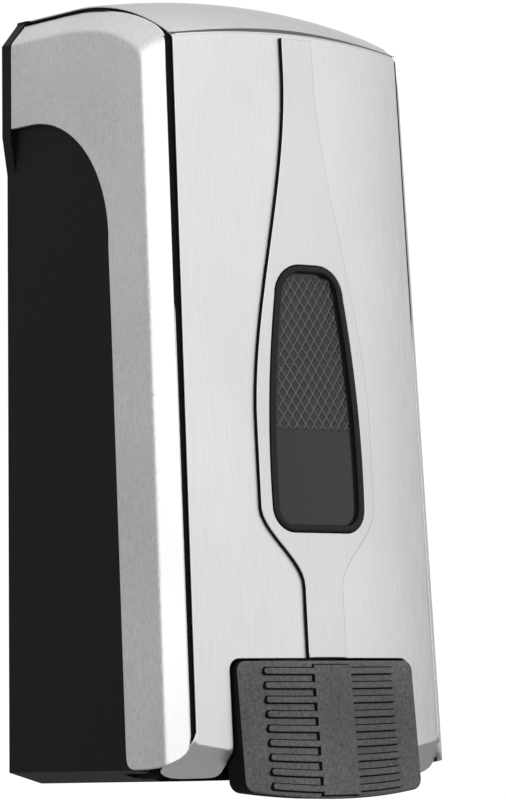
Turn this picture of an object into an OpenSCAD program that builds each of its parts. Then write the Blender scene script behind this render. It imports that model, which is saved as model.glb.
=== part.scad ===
// Wall mounted soap dispenser: hinged cover, ribbed push bar, piston pump and 1 litre reservoir.
// Millimetres. +X right, +Y into the wall, +Z up. The origin is the centre of the wall face.

/* [Cover] */
// half of the cover's width at the lower edge of its sides
half_w = 60.9; // [60.5:0.1:61.5]
// depth of the side's front corner at the lower edge
side_depth = 93.3; // [92.5:0.1:94]
// how far each side leans in per millimetre of height
side_taper = 0.015; // [0.014:0.001:0.016]
// how far the front leans back per millimetre of height
front_lean = 0.048; // [0.047:0.001:0.049]
// height of the sides' flat top
top_h = 266; // [265.5:0.5:266.5]
// sideways size of the polished corner strip
strip_x = 6.4; // [6:0.1:6.8]
// forward size of the polished corner strip
strip_y = 6.3; // [6:0.1:6.6]
// how far the front panel bows forward at its middle
panel_bow = 5.5; // [5:0.1:6]
// height that the arched top gains at its middle
top_arch = 4; // [3.5:0.1:4.2]

/* [Spine and window] */
// how far the spine stands out of the panel
spine_h = 1.5; // [1:0.1:1.6]
// half width of the spine's neck
neck_w = 6.6; // [6:0.1:7]
// half width of the spine's belly
belly_w = 24.8; // [24:0.1:25.5]
// half width of the spine's stem above the push bar
stem_w = 8.2; // [7.8:0.1:8.6]
// greatest half width of the window frame
window_w = 20; // [19.5:0.1:20.5]
// width of the window frame's rim
rim_w = 2.4; // [2:0.1:2.6]

/* [Push bar] */
// half width of the push bar
bar_w = 38.5; // [38:0.1:38.8]
// height of the push bar's top edge above the sides' lower edge
bar_top = 36; // [35:0.5:36.5]
// how far the push bar's middle reaches below the sides' lower edge
bar_drop = 11; // [10:0.5:11.5]
// ribs on each side of the centre band
rib_count = 9; // [7:1:9]
// how far the ribs stand out
rib_h = 0.8; // [0.5:0.1:0.9]

/* [Wall fixing] */
// sideways distance between the screw holes
screw_dx = 76; // [70:1:80]
// upright distance between the screw holes
screw_dz = 180; // [176:1:184]
// radius of the screw holes
screw_r = 2.5; // [2:0.1:2.8]

/* [Pump and reservoir] */
// outside width of the reservoir
tank_w = 96; // [90:1:98]
// height of the reservoir's shoulder
tank_top = 232; // [226:1:232]
// radius of the pump's bore
pump_r = 8; // [7.5:0.1:8.2]

/* [Hidden] */
fn_round = 96;
fn_wide = 360;          // arcs of the large radii
far = 400;              // longer than anything it cuts
below = -20;
above = 300;
mount_h = 132;          // height of the wall face's centre above the sides' lower edge
lean_deg = atan(front_lean);
taper_deg = atan(side_taper);
skin = 1.6;             // sheet thickness of the side frames
panel_t = 2;            // sheet thickness of the front panel
return_t = 1.2;         // thickness of the side frame's wall beside the gap
return_d = 7;           // depth of that wall
gap_x = 1.6;            // gap between the side frame and the panel
gap_y = 1.2;            // how far the panel's edge stands in front of the strip
cover_back = -5.4;      // rear edge of the cover
slope_r = 102;          // radius of the top's fall towards the front
slope_y = -33.5;        // where that fall begins
strip_deg = atan(strip_x / strip_y);
panel_edge = strip_x + gap_x;
panel_front = side_depth + strip_y + gap_y + panel_bow;
edge_half = half_w - panel_edge;
bow_r = (edge_half * edge_half + panel_bow * panel_bow) / (2 * panel_bow);
arch_half = 48;
arch_r = (arch_half * arch_half + top_arch * top_arch) / (2 * top_arch);
slope_steps = [30, 20, 9];
forward_shift = 3;      // how far the slope's middle moves forward with the bow
crease_z = 251;         // top edge of the front face at its middle
side_crease = 245;      // top edge of the side frame's front
chamfer_z = 256.5;      // where the side's top chamfer begins
chamfer_x = 6.7;
chamfer_h = 8.2;
band_deg = 45;          // slope of the panel's lower band
band_z = 4.9;           // middle of the lower band's upper edge
panel_low = -3.3;       // lower edge of the panel's band
panel_low_back = -86;   // how far back its lower edge reaches
band_sag = 6.7;
band_r = (edge_half * edge_half + band_sag * band_sag) / (2 * band_sag);
notch_r = 45;           // corner radius of the cut-out in the side frames
notch_top = 226.3;
notch_y = -17.3;
notch_front = 71.6;     // depth of the cut-out at the lower edge

wall_inset = 2.2;       // housing wall inside the cover's side
wall_t = 2.5;
plate_t = 3;
rim_d = 5;
floor_z = -4;
floor_half = 45;
hinge_y = -70;
hinge_z = 8;
hinge_pin_r = 3;
run_fit = 0.05;
nose_r = 10.5;
lug_in = 50;
lug_out = 54.5;
lug_r = 7;
lug_gap = 0.3;
tongue_half = 44;
tongue_y = -85.2;

bar_y = -97;            // push bar pivot
bar_z = 30;
bar_pin_r = 2;
bar_proud = 2.6;        // push bar in front of the panel at its top edge
bar_lean_deg = 5.55;
bar_t = 2.2;
bar_gap = 0.5;
bar_back = -99;
bar_sag = 3;
bar_r = (bar_w * bar_w + bar_sag * bar_sag) / (2 * bar_sag);
bar_corner = 3.5;
band_half = 8;          // half width of the raised centre band
rib_in = 7.5;
rib_out = 29.5;
rib_top = 32.5;
rib_pitch = 4.9;
rib_w = 2.1;
bar_lug_in = 26;
bar_lug_out = 30;
frame_lug_t = 3.6;
bar_lug_r = 3.9;
boss_half = 5;

pump_z = 9.2;
pump_out = pump_r + 2.5;
pump_front = -84;
pump_back = -46;
chamber_end = -54;
port_y = -50;
piston_front = -97.6;
nozzle_y = -78;
lock_y = -20;
lock_top = 271.2;
barrel_r = 7;
plug_r = 5;
flange_r = 9;
tank_front = -72;
tank_rear = -10;
tank_floor = 30;
tank_t = 2;
tank_r = 10;
mouth_w = 60;
mouth_d = 30;
mouth_y = -50;
mouth_h = 4;
screw_head = 4.2;

// ---- helpers ----

function side_x(z) = half_w - side_taper * z;
function corner_y(z) = -(side_depth - front_lean * z);
function ease(t) = t <= 0 ? 0 : t >= 1 ? 1 : t * t * (3 - 2 * t);

module place() translate([0, 0, -mount_h]) children();

module along_x(x0, x1)
    translate([x0, 0, 0]) rotate([90, 0, 90]) linear_extrude(height = x1 - x0) children();

module along_y(y0, y1)
    translate([0, y1, 0]) rotate([90, 0, 0]) linear_extrude(height = y1 - y0) children();

module rod_x(x0, x1, r, y, z)
    translate([x0, y, z]) rotate([0, 90, 0]) cylinder(r = r, h = x1 - x0, $fn = fn_round);

module rod_y(y0, y1, r, x, z)
    translate([x, y1, z]) rotate([90, 0, 0]) cylinder(r = r, h = y1 - y0, $fn = fn_round);

module rod_z(z0, z1, r, x, y)
    translate([x, y, z0]) cylinder(r = r, h = z1 - z0, $fn = fn_round);

module box(x0, x1, y0, y1, z0, z1)
    translate([x0, y0, z0]) cube([x1 - x0, y1 - y0, z1 - z0]);

module rounded(w, d, r) {
    square([w - 2 * r, d], center = true);
    square([w, d - 2 * r], center = true);
    for (sx = [-1, 1], sy = [-1, 1])
        translate([sx * (w / 2 - r), sy * (d / 2 - r)]) circle(r = r, $fn = fn_round);
}

// a bar that follows the leaning front: depths are measured in front of the corner line
module leaning(x0, x1, d0, d1, z0, z1)
    along_x(x0, x1) polygon([[corner_y(z0) - d0, z0], [corner_y(z1) - d0, z1],
                             [corner_y(z1) - d1, z1], [corner_y(z0) - d1, z0]]);

// the sides' outline from the front, from inner to outer distance inside the side's face
module side_band(inner, outer, z0, z1)
    polygon([[side_x(z0) - inner, z0], [side_x(z0) - outer, z0],
             [side_x(z1) - outer, z1], [side_x(z1) - inner, z1]]);

// ---- cover shapes ----

// the sides' outline seen from the left: leaning front, falling top, cut lower corner
low_start = 8;          // height at which the strip's lower end begins to turn under
low_mid = 2.2;
low_run = 18;           // how far behind the front the lower edge is level
crease_rise = 9.5;      // height that the corner above the front gains over that run
module side_outline(d) {
    f0 = corner_y(0) - strip_y;
    intersection() {
        polygon([[f0 + front_lean * below + d, below], [f0 + front_lean * above + d, above],
                 [cover_back, above], [cover_back, below]]);
        union() {
            translate([slope_y, top_h - slope_r]) circle(r = slope_r - d, $fn = 180);
            translate([slope_y, below]) square([-slope_y, top_h - d - below]);
            translate([-far, below]) square([far, top_h - slope_r - below]);
        }
        polygon([[-far, low_start], [f0 + front_lean * low_start + d, low_start + d],
                 [f0 + low_start, low_mid + d], [f0 + low_run, d],
                 [0, d], [0, above], [f0 + low_run + d, above],
                 [f0 + low_run + d, side_crease + crease_rise - d / 2],
                 [f0 + front_lean * side_crease + d, side_crease - d / 2], [-far, side_crease]]);
    }
}

// the sides' outline seen from the front, with the top chamfer
module front_outline(d) {
    z_end = top_h - d;
    polygon([[-side_x(below) + d, below], [side_x(below) - d, below],
             [side_x(chamfer_z) - d, chamfer_z - d / 2],
             [side_x(chamfer_z) - chamfer_x - d / 2, chamfer_z + chamfer_h - d],
             [side_x(chamfer_z) - chamfer_x - 4, z_end], [-side_x(chamfer_z) + chamfer_x + 4, z_end],
             [-side_x(chamfer_z) + chamfer_x + d / 2, chamfer_z + chamfer_h - d],
             [-side_x(chamfer_z) + d, chamfer_z - d / 2]]);
}

// everything outside the right-hand corner strip
module strip_cutter(d)
    translate([half_w, -side_depth, 0]) rotate([-lean_deg, -taper_deg, 0])
        rotate([0, 0, -strip_deg]) translate([-d, -40, -40]) cube([40, 80, 360]);

module side_solid(d) difference() {
    intersection() {
        along_x(-70, 70) side_outline(d);
        along_y(-120, 0) front_outline(d);
    }
    strip_cutter(d);
}

// the cut-out that shows the housing's wall
module notch() along_x(20, 80) {
    translate([notch_y, notch_top - notch_r]) circle(r = notch_r, $fn = 180);
    z1 = notch_top - notch_r;
    polygon([[-notch_front + front_lean * z1, z1], [-notch_front + 0.2, 4], [-notch_front - 0.6, 2],
             [-notch_front - 2.4, 0], [-notch_front - 2.4, -30], [5, -30], [5, notch_top],
             [notch_y, notch_top], [notch_y, z1]]);
}

module side_frame_right() color([0.7, 0.7, 0.7]) place() difference() {
    union() {
        intersection() {
            difference() { side_solid(0); side_solid(skin); }
            along_y(-120, 0) side_band(strip_x, -5, -5, top_h + 5);
        }
        intersection() {
            difference() { side_solid(0); along_x(-70, 70) side_outline(return_d); }
            along_y(-120, 0) side_band(strip_x, strip_x - return_t, 9, top_h + 5);
        }
    }
    notch();
    // room for the housing's round nose behind the lower edge
    box(40, half_w - skin - 0.1, hinge_y - nose_r - 0.8, 0, -5, 6);
}

module side_frame_left() color([0.7, 0.7, 0.7]) mirror([1, 0, 0]) side_frame_right();

// a bowed, leaning face: a large cylinder whose axis leans with the front
module bowed(front, deg, d)
    translate([0, -front, 0]) rotate([-deg, 0, 0]) translate([0, bow_r, -60])
        cylinder(r = bow_r - d, h = far, $fn = fn_wide);

// one sloping facet of the arched top, tangent to the side frames' fall at deg
module top_facet(deg, d) {
    sag = top_arch * cos(deg) + forward_shift * sin(deg);
    r = (arch_half * arch_half + sag * sag) / (2 * sag);
    y = slope_y - slope_r * sin(deg);
    z = top_h - slope_r * (1 - cos(deg));
    translate([0, y, z]) rotate([deg, 0, 0]) translate([0, 0, sag - r]) rotate([90, 0, 0])
        cylinder(r = r - d, h = far, center = true, $fn = fn_wide);
}

module panel_solid(d) intersection() {
    along_y(-130, cover_back)
        polygon([[-side_x(below) + panel_edge + d, below], [side_x(below) - panel_edge - d, below],
                 [side_x(above) - panel_edge - d, above], [-side_x(above) + panel_edge + d, above]]);
    bowed(panel_front, lean_deg, d);
    top_facet(0, d);
    falling_top(d);
    translate([0, -panel_front + front_lean * band_z, band_z]) rotate([-band_deg, 0, 0])
        translate([0, 0, band_r]) rotate([90, 0, 0])
            cylinder(r = band_r - d, h = far, center = true, $fn = fn_wide);
}

module falling_top(d) intersection() {
    top_facet(slope_steps[0], d);
    top_facet(slope_steps[1], d);
    top_facet(slope_steps[2], d);
}

module bar_notch()
    along_y(-130, -60) translate([0, (bar_top + bar_gap - 30) / 2])
        square([2 * (bar_w + bar_gap), bar_top + bar_gap + 30], center = true);

module front_panel() color([0.86, 0.86, 0.86]) place() difference() {
    intersection() {
        difference() { panel_solid(0); panel_solid(panel_t); }
        union() {
            leaning(-half_w, half_w, frame_front, 40, panel_low, above);
            box(-half_w, half_w, -far, 0, crease_z + 3, above);
            box(-half_w, half_w, -far, panel_low_back, panel_low, band_z + 1);
        }
    }
    bar_notch();
    along_y(-130, -60) window_outline(-0.2);
    rod_z(crease_z, above, barrel_r + run_fit, 0, lock_y);
}

// ---- spine and window ----

spine_neck_z = 240;
spine_belly_z = 116;
spine_low_z = 88;
spine_stem_z = 61;
function spine_x(z) = z > 102
    ? neck_w + (belly_w - neck_w) * ease((spine_neck_z - z) / (spine_neck_z - spine_belly_z))
    : stem_w + (belly_w - stem_w) * ease((z - spine_stem_z) / (spine_low_z - spine_stem_z));

spine_steps = 60;
module spine_outline(z0, z1, n) {
    zs = [for (i = [0 : n]) z0 + (z1 - z0) * i / n];
    polygon(concat([for (z = zs) [spine_x(z), z]],
                   [for (i = [n : -1 : 0]) [-spine_x(zs[i]), zs[i]]]));
}

win_low = 79.7;
win_high = 171.3;
win_wide_z = 98;
win_fall = 0.00132;     // how quickly the window narrows upwards
win_low_r = 8.5;
win_high_r = 11;
function win_x(z, d) = window_w - d - win_fall * (z - win_wide_z) * (z - win_wide_z);

// the window's outline drawn in by d: bulging sides that end in four round corners
module window_outline(d) {
    n = 10;
    z0 = win_low + win_low_r;
    z1 = win_high - win_high_r;
    zs = [for (i = [0 : n]) z0 + (z1 - z0) * i / n];
    polygon(concat([for (z = zs) [win_x(z, d), z]],
                   [for (i = [n : -1 : 0]) [-win_x(zs[i], d), zs[i]]]));
    for (s = [-1, 1]) {
        translate([s * (win_x(z0, 0) - win_low_r), z0]) circle(r = win_low_r - d, $fn = fn_round);
        translate([s * (win_x(z1, 0) - win_high_r), z1]) circle(r = win_high_r - d, $fn = fn_round);
    }
    low_half = win_x(z0, 0) - win_low_r;
    high_half = win_x(z1, 0) - win_high_r;
    translate([-low_half, win_low + d]) square([2 * low_half, win_low_r + 1]);
    translate([-high_half, z1 - 1]) square([2 * high_half, win_high_r - d + 1]);
}

// what lies between the bowed faces that stand out of the panel's face and into it
module bowed_layer(out, into) difference() {
    intersection() {
        bowed(panel_front, lean_deg, -out);
        children();
    }
    bowed(panel_front, lean_deg, into);
}

module centre_spine() color([0.88, 0.88, 0.88]) place() difference() {
    bowed_layer(spine_h, 0) along_y(-130, -60) spine_outline(bar_top + 1, crease_z, spine_steps);
    along_y(-130, -60) window_outline(-0.2);
}

module window_frame() color([0.1, 0.1, 0.1]) place() difference() {
    bowed_layer(spine_h + 0.5, panel_t + 1.5) along_y(-130, -60) window_outline(0);
    along_y(-130, -60) window_outline(rim_w);
}

module window_lens() color([0.25, 0.25, 0.25]) place()
    bowed_layer(0.2, panel_t) along_y(-130, -60) window_outline(rim_w);

// ---- cover frame and its screws ----

frame_front = -2;       // in front of the corner line, so behind it
frame_back = -12;
frame_low = 12;
foot_back = -7;
foot_low = 4;         // above the side frame's floor
frame_side = skin + 0.05;
frame_high = 240;
bar_low = 42;
bar_high = 50;
bar_frame_back = -10;

module frame_screw_spots() for (s = [-1, 1], z = [60, 228])
    translate([s * (side_x(z) - 9), corner_y(z) + 12, z]) rotate([90, 0, 0]) children();

module cover_frame() color([0.13, 0.13, 0.13]) place() difference() {
    union() {
        intersection() {
            leaning(-62, 62, frame_front, frame_back, frame_low, frame_high);
            along_y(-120, 0) {
                side_band(12, frame_side, 0, 250);
                mirror([1, 0]) side_band(12, frame_side, 0, 250);
            }
        }
        // feet of the side bars
        intersection() {
            leaning(-62, 62, frame_front, foot_back, foot_low, frame_low + 1);
            along_y(-120, 0) {
                side_band(12, frame_side, -5, 20);
                mirror([1, 0]) side_band(12, frame_side, -5, 20);
            }
        }
        leaning(-50, 50, frame_front, bar_frame_back, 233, frame_high);
        leaning(-50, 50, frame_front, bar_frame_back, bar_low, bar_high);
        for (s = [-1, 1]) {
            cover_lug(s);
            bar_pin_lug(s, bar_lug_in - bar_gap - frame_lug_t);
            bar_pin_lug(s, bar_lug_out + bar_gap);
        }
    }
    for (s = [-1, 1])
        rod_x(s > 0 ? lug_in - 1 : -lug_out - 1, s > 0 ? lug_out + 1 : -lug_in + 1,
              hinge_pin_r + run_fit, hinge_y, hinge_z);
    frame_screw_spots() translate([0, 0, -1]) cylinder(r = 1.5, h = 9, $fn = 32);
    // slots for the lower ends of the front panel's side walls
    for (s = [0, 1]) mirror([s, 0, 0])
        box(edge_half - panel_t - 0.2, edge_half + 0.2, -95, panel_low_back + 0.1, -5, 6.1);
}

// arm from the frame's side bar back to the hinge
module cover_lug(s) {
    x0 = s > 0 ? lug_in : -lug_out;
    x1 = s > 0 ? lug_out : -lug_in;
    rod_x(x0, x1, lug_r, hinge_y, hinge_z);
    along_x(x0, x1) polygon([[hinge_y, hinge_z - lug_r], [hinge_y - 12, hinge_z - 3],
                             [corner_y(14) + 2.5, frame_low + 0.5], [corner_y(28) + 2.5, 28],
                             [corner_y(28) + 9, 28], [hinge_y, hinge_z + lug_r]]);
}

// arm from the lower crossbar down to the push bar's pin
module bar_pin_lug(s, x) {
    x0 = s > 0 ? x : -x - frame_lug_t;
    difference() {
        union() {
            rod_x(x0, x0 + frame_lug_t, bar_lug_r, bar_y, bar_z);
            along_x(x0, x0 + frame_lug_t)
                polygon([[bar_y - 1, bar_z + 4], [bar_y + 3, bar_z - 3], [corner_y(36) + 7, 36],
                         [corner_y(bar_low) + 9, bar_low + 1], [corner_y(bar_low) + 2.5, bar_low + 1]]);
        }
        rod_x(x0 - 1, x0 + frame_lug_t + 1, bar_pin_r, bar_y, bar_z);
    }
}

screw_seat = 0.2;       // the heads bear on the leaning face at their lower edge
module frame_screws() color([0.6, 0.6, 0.62]) place() frame_screw_spots() {
    translate([0, 0, -1.5 - screw_seat]) cylinder(r = 2.8, h = 1.5, $fn = 48);
    translate([0, 0, -screw_seat - 0.5]) cylinder(r = 1.5, h = 8, $fn = 32);
}

// ---- push bar ----

bar_front = panel_front - front_lean * bar_top + bar_proud;
module bar_face(d)
    translate([0, -bar_front, bar_top]) rotate([-bar_lean_deg, 0, 0]) translate([0, bow_r, -80])
        cylinder(r = bow_r - d, h = 120, $fn = fn_wide);

module bar_outline(d) intersection() {
    translate([0, bar_top - 40]) rounded(2 * (bar_w - d), 80 - 2 * d, bar_corner);
    translate([0, bar_r - bar_drop]) circle(r = bar_r - d, $fn = fn_wide);
}

module bar_solid(d) intersection() {
    bar_face(d);
    along_y(-140, bar_back) bar_outline(d);
}

// strip for rib i: straight at the top, following the lower edge's curve further down
module rib_strip(i) {
    sag = 0.3 + (bar_sag - 0.6) * pow(i / (rib_count - 1), 2);
    r = bar_w * bar_w / (2 * sag);
    z = rib_top - rib_pitch * i - sag * pow(rib_out / bar_w, 2) + rib_w / 2;
    difference() {
        translate([0, z - rib_w + r]) circle(r = r, $fn = fn_wide);
        translate([0, z + r]) circle(r = r, $fn = fn_wide);
    }
}

module push_bar() color([0.2, 0.2, 0.2]) place() difference() {
    union() {
        difference() {
            bar_solid(0);
            intersection() {
                bar_face(bar_t);
                along_y(-140, bar_back + 1) bar_outline(bar_t);
            }
        }
        intersection() {
            difference() { bar_face(-rib_h); bar_face(0.2); }
            along_y(-140, bar_back) intersection() {
                bar_outline(1.2);
                union() {
                    translate([0, bar_top / 2 - 8]) square([2 * band_half, 80], center = true);
                    for (i = [0 : rib_count - 1], s = [-1, 1])
                        intersection() {
                            rib_strip(i);
                            translate([s * (rib_in + rib_out) / 2, 10])
                                square([rib_out - rib_in, 80], center = true);
                        }
                }
            }
        }
        for (s = [-1, 1]) bar_lug(s > 0 ? bar_lug_in : -bar_lug_out);
        box(-boss_half, boss_half, -bar_front - 1.4, piston_front - 0.4, pump_z - 4, pump_z + 4);
    }
    rod_x(-bar_w, bar_w, bar_pin_r + run_fit, bar_y, bar_z);
}

module bar_lug(x0) {
    rod_x(x0, x0 + 4, bar_lug_r, bar_y, bar_z);
    box(x0, x0 + 4, -bar_front + 3.2, bar_y, bar_z - 4, bar_z + 4);
}

module push_bar_pin() color([0.65, 0.65, 0.67]) place() {
    pin_end = bar_lug_out + bar_gap + frame_lug_t;
    rod_x(-pin_end, pin_end, bar_pin_r, bar_y, bar_z);
}

// helical coil of round wire: the section is drawn wide enough round the axis for its pitch
module coil(r, wire, h, turns) {
    spread = 360 * wire * turns / h;
    linear_extrude(height = h, twist = 360 * turns, slices = 16 * turns)
        polygon([for (t = [0 : 30 : 330])
            (r + wire * sin(t)) * [cos(spread * cos(t)), sin(spread * cos(t))]]);
}

spring_r = 3.2;
spring_wire = 0.55;
spring_half = 9;        // half of the coil's length
spring_leg = 8.6;       // where its legs stand
spring_reach = 8;       // how far the front leg reaches, just short of the pushed bar's face

// coil round the pin, with one leg back to the crossbar and one forward to the push bar
module push_bar_spring() color([0.6, 0.6, 0.62]) place() {
    translate([-spring_half, bar_y, bar_z]) rotate([0, 90, 0])
        coil(spring_r, spring_wire, 2 * spring_half, 8);
    rod_z(bar_z, bar_low + 2, spring_wire, -spring_leg, bar_y + spring_r);
    rod_y(bar_y + spring_r - 0.2, corner_y(bar_low + 1.5) - frame_front - 0.05, spring_wire, -spring_leg,
          bar_low + 1.5);
    rod_y(bar_y - spring_reach, bar_y, spring_wire, spring_leg, bar_z - spring_r);
}

// ---- back housing ----

module housing_outline(d) {
    x1 = floor_half - d * 0.3;
    xb = side_x(0) - wall_inset - d;
    polygon([[-x1, floor_z + d], [x1, floor_z + d], [xb, d], [side_x(240) - wall_inset - d, 240],
             [-side_x(240) + wall_inset + d, 240], [-xb, d]]);
}

// rim of the wall plate: flush with the cover above the cut-out, inset below it
module plate_outline(d) {
    intersection() {
        union() {
            for (s = [0, 1]) mirror([s, 0])
                polygon([[0, 20], [side_x(214) - wall_inset - d, 210], [side_x(226) - d, 224],
                         [side_x(chamfer_z) - d, chamfer_z - d / 2],
                         [side_x(chamfer_z) - chamfer_x - d / 2, chamfer_z + chamfer_h - d],
                         [arch_half, top_h + 10], [0, top_h + 10]]);
            polygon([[-side_x(0) + wall_inset + d, d], [-floor_half + d * 0.3, floor_z + d],
                     [floor_half - d * 0.3, floor_z + d], [side_x(0) - wall_inset - d, d],
                     [side_x(216) - wall_inset - d, 216], [-side_x(216) + wall_inset + d, 216]]);
        }
        translate([0, top_h + top_arch - arch_r]) circle(r = arch_r - d, $fn = fn_wide);
    }
}

// the walls' reach seen from the side, with a round nose about the hinge
module housing_side() {
    translate([hinge_y, hinge_z]) circle(r = nose_r, $fn = fn_round);
    polygon([[corner_y(20) + 15, 20], [corner_y(236) + 15, 236], [-rim_d + 1, 236], [-rim_d + 1, -10],
             [hinge_y, -10], [hinge_y, hinge_z], [hinge_y - nose_r + 1, hinge_z]]);
}

module lug_slot(s) {
    x0 = s > 0 ? lug_in - lug_gap : -lug_out - lug_gap;
    x1 = x0 + lug_out - lug_in + 2 * lug_gap;
    box(x0, x1, -110, hinge_y + lug_r + 1.5, -20, 40);
}

module back_housing() color([0.12, 0.12, 0.12]) place() difference() {
    union() {
        along_y(-plate_t, 0) plate_outline(0);
        along_y(-rim_d, 0) difference() { plate_outline(0); plate_outline(wall_t); }
        intersection() {
            along_y(-120, -plate_t + 0.5) difference() {
                housing_outline(0);
                housing_outline(wall_t);
                translate([-45, 200]) square([90, 60]);
            }
            along_x(-70, 70) housing_side();
        }
        // tongue of the floor that carries the pump
        box(-tongue_half, tongue_half, tongue_y, hinge_y + 5, floor_z, floor_z + wall_t);
        // hinge posts on both sides of the cover's lugs
        for (s = [-1, 1]) {
            rod_x(s > 0 ? lug_in - 5.5 : -lug_in + lug_gap, s > 0 ? lug_in - lug_gap : -lug_in + 5.5,
                  lug_r, hinge_y, hinge_z);
            rod_x(s > 0 ? lug_out + lug_gap : -57, s > 0 ? 57 : -lug_out - lug_gap,
                  lug_r, hinge_y, hinge_z);
            box(s > 0 ? lug_in - 5.5 : -lug_in + lug_gap, s > 0 ? lug_in - lug_gap : -lug_in + 5.5,
                hinge_y - 5, hinge_y + 5, floor_z + 1, hinge_z);
            // shelf for the reservoir, off the wall plate
            box(s > 0 ? 30 : -34, s > 0 ? 34 : -30, -66, -1, tank_floor - 12, tank_floor);
        }
        // cradle under the pump
        difference() {
            box(-12, 12, -72, -56, floor_z + 1, 7);
            rod_y(-80, -50, pump_out, 0, pump_z);
        }
        for (sx = [-1, 1], sz = [-1, 1])
            rod_y(-plate_t - 1.5, 0, 6, sx * screw_dx / 2, mount_h + sz * screw_dz / 2);
    }
    for (s = [-1, 1]) lug_slot(s);
    for (s = [-1, 1])
        rod_x(s > 0 ? lug_in - 8 : -58.2, s > 0 ? 58.2 : -lug_in + 8, hinge_pin_r, hinge_y, hinge_z);
    for (sx = [-1, 1], sz = [-1, 1])
        rod_y(-20, 5, screw_r, sx * screw_dx / 2, mount_h + sz * screw_dz / 2);
    rod_z(floor_z - 5, floor_z + 8, 6, 0, nozzle_y);
    for (sx = [-1, 1]) rod_y(-plate_t - 1, 1, 1.2, sx * keeper_screw_x, keeper_screw_z);
}

module hinge_pins() color([0.65, 0.65, 0.67]) place() for (s = [-1, 1])
    rod_x(s > 0 ? lug_in - 5.4 : -58, s > 0 ? 58 : -lug_in + 5.4, hinge_pin_r, hinge_y, hinge_z);

// ---- lock ----

module lock_barrel() color([0.75, 0.75, 0.77]) place() difference() {
    union() {
        rod_z(crease_z, lock_top - 0.5, barrel_r, 0, lock_y);
        rod_z(lock_top - 0.9, lock_top, flange_r, 0, lock_y);
    }
    rod_z(240, above, plug_r + run_fit, 0, lock_y);
}

module lock_plug() color([0.7, 0.68, 0.6]) place() difference() {
    rod_z(cam_low - 1.6, lock_top - 0.2, plug_r, 0, lock_y);
    box(-0.8, 0.8, lock_y - 3.5, lock_y + 3.5, lock_top - 8, lock_top + 1);
}

module lock_nut() color([0.6, 0.6, 0.62]) place() difference() {
    translate([0, lock_y, 262]) cylinder(r = 10.5, h = 4, $fn = 6);
    rod_z(crease_z, above, barrel_r, 0, lock_y);
}

cam_r = 7.5;
cam_reach = 14;
cam_tip = 3;            // half width of the cam's tip
cam_low = 248;
cam_t = 2;

// flat cam; at rest it points at the wall, clear of the keeper
module lock_cam() color([0.6, 0.6, 0.62]) place() difference() {
    union() {
        rod_z(cam_low, cam_low + cam_t, cam_r, 0, lock_y);
        translate([0, lock_y, cam_low]) linear_extrude(height = cam_t)
            polygon([[-0.92 * cam_r, 0.33 * cam_r], [-cam_tip, cam_reach], [cam_tip, cam_reach],
                     [0.92 * cam_r, 0.33 * cam_r]]);
    }
    rod_z(240, 260, plug_r, 0, lock_y);
}

keeper_low = 240;
keeper_in = 8.5;
keeper_out = 12;
keeper_stop = 5.6;      // how far in front of the lock's axis the post stands
keeper_screw_x = 12;
keeper_screw_z = 251;

// bracket off the wall plate; its post stands in front of the turned cam
module latch_keeper() color([0.6, 0.6, 0.62]) place() {
    post_y = lock_y - keeper_stop;
    box(-keeper_out, -keeper_in, post_y - 2.6, -plate_t - 1, keeper_low, keeper_low + 2);
    box(-keeper_out, -keeper_in, post_y - 2.6, post_y, keeper_low, cam_low + cam_t);
    difference() {
        box(-16, 16, -plate_t - 1.5, -plate_t, keeper_low, 256);
        for (sx = [-1, 1]) rod_y(-10, 0, 1.2, sx * keeper_screw_x, keeper_screw_z);
    }
}

module keeper_screws() color([0.55, 0.55, 0.57]) place() for (sx = [-1, 1]) {
    rod_y(-plate_t - 3, -plate_t - 1.5, 2.4, sx * keeper_screw_x, keeper_screw_z);
    rod_y(-plate_t - 1.5, -0.6, 1.2, sx * keeper_screw_x, keeper_screw_z);
}

// ---- reservoir ----

tank_d = tank_rear - tank_front;
tank_y = (tank_rear + tank_front) / 2;
module reservoir() color([0.9, 0.9, 0.88]) place() difference() {
    union() {
        translate([0, tank_y, tank_floor]) linear_extrude(height = tank_top - tank_floor)
            rounded(tank_w, tank_d, tank_r);
        translate([0, mouth_y, tank_top - 1]) linear_extrude(height = mouth_h + 1)
            rounded(mouth_w + 2 * tank_t, mouth_d + 2 * tank_t, 7);
        rod_z(22, tank_floor + 1, 7, 0, port_y);
    }
    translate([0, tank_y, tank_floor + tank_t])
        linear_extrude(height = tank_top - tank_floor - 2 * tank_t)
            rounded(tank_w - 2 * tank_t, tank_d - 2 * tank_t, tank_r - tank_t);
    translate([0, mouth_y, tank_top - 5]) linear_extrude(height = mouth_h + 10)
        rounded(mouth_w, mouth_d, 5);
    rod_z(15, tank_floor + 5, 5, 0, port_y);
}

lid_z = tank_top + mouth_h;
module reservoir_lid() color([0.2, 0.2, 0.2]) place() {
    translate([0, mouth_y, lid_z + 1]) linear_extrude(height = 2)
        rounded(mouth_w + 8, mouth_d + 8, 9);
    translate([0, mouth_y, lid_z - 4]) linear_extrude(height = 5.5)
        rounded(mouth_w - 1, mouth_d - 1, 4.5);
}

module lid_seal() color([0.3, 0.3, 0.3]) place()
    translate([0, mouth_y, lid_z]) linear_extrude(height = 1) difference() {
        rounded(mouth_w + 4, mouth_d + 4, 7);
        rounded(mouth_w - 1, mouth_d - 1, 4.5);
    }

// ---- pump ----

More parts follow.
